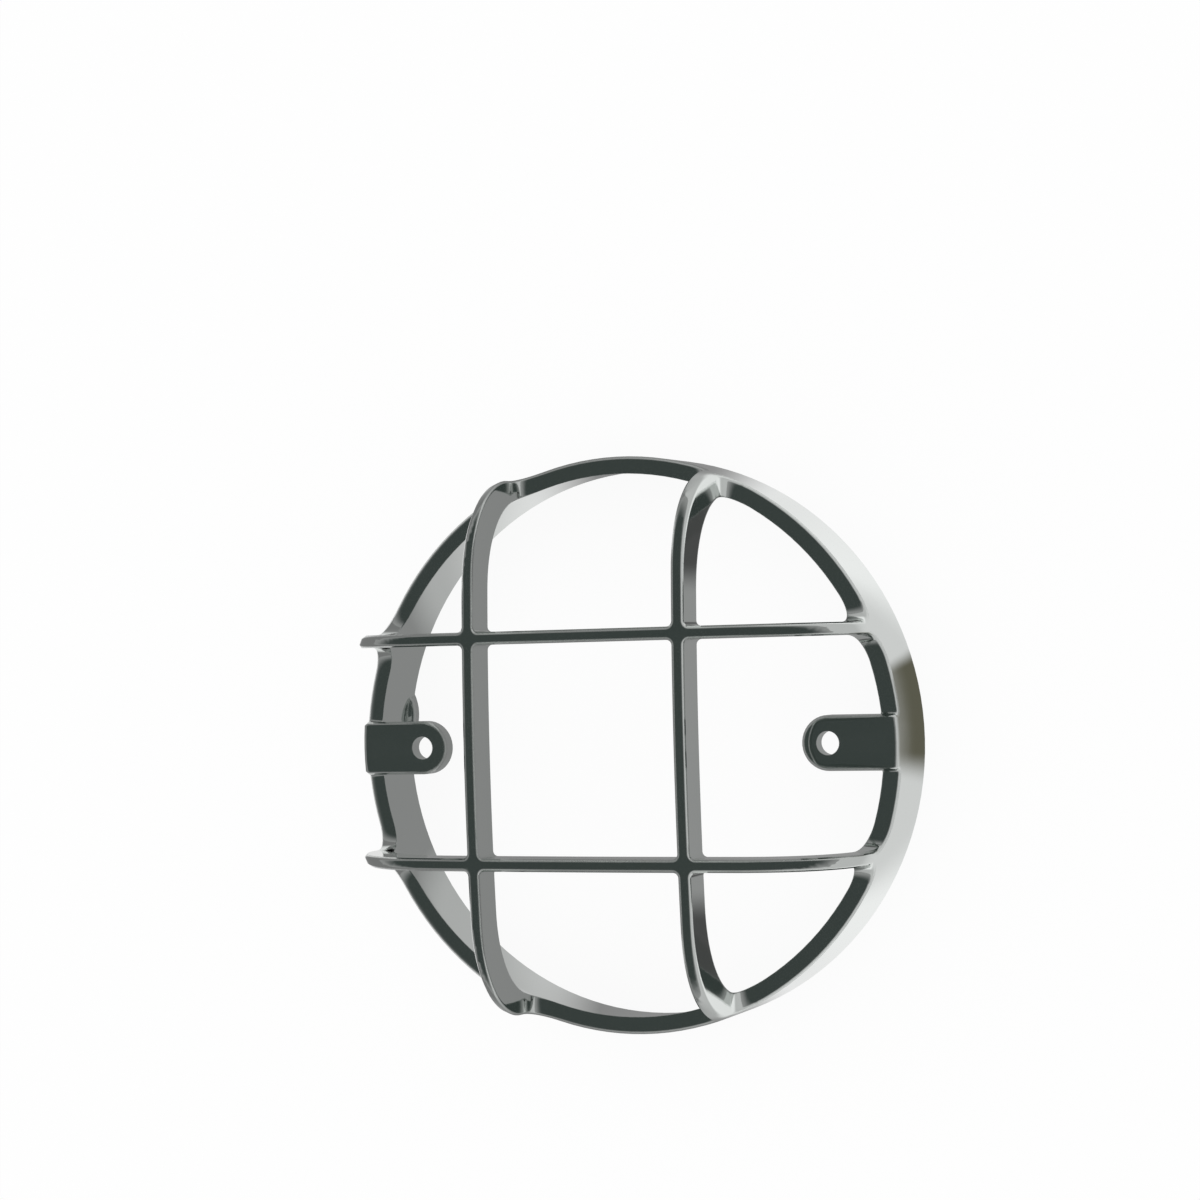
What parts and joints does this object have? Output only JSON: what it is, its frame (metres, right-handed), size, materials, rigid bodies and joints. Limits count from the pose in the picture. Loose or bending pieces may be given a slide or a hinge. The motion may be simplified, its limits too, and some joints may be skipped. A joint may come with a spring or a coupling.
{
  "type": "light stone guard",
  "caption": "Round chrome stone guard for a lamp: crossed bars arch forward from a drafted rim, with two flat screw ears.",
  "frame": {"origin": "on the guard's axis, in the plane of the back rim", "axes": "+Z along the axis, from the back rim towards the cage; the two screw ears lie on the X axis"},
  "size_m": [0.132, 0.132, 0.048],
  "materials": {
    "stone_guard": "bright chrome plate on a die-cast body"
  },
  "bodies": {
    "root": {"stone_guard": "stone_guard"}
  },
  "joints": []
}
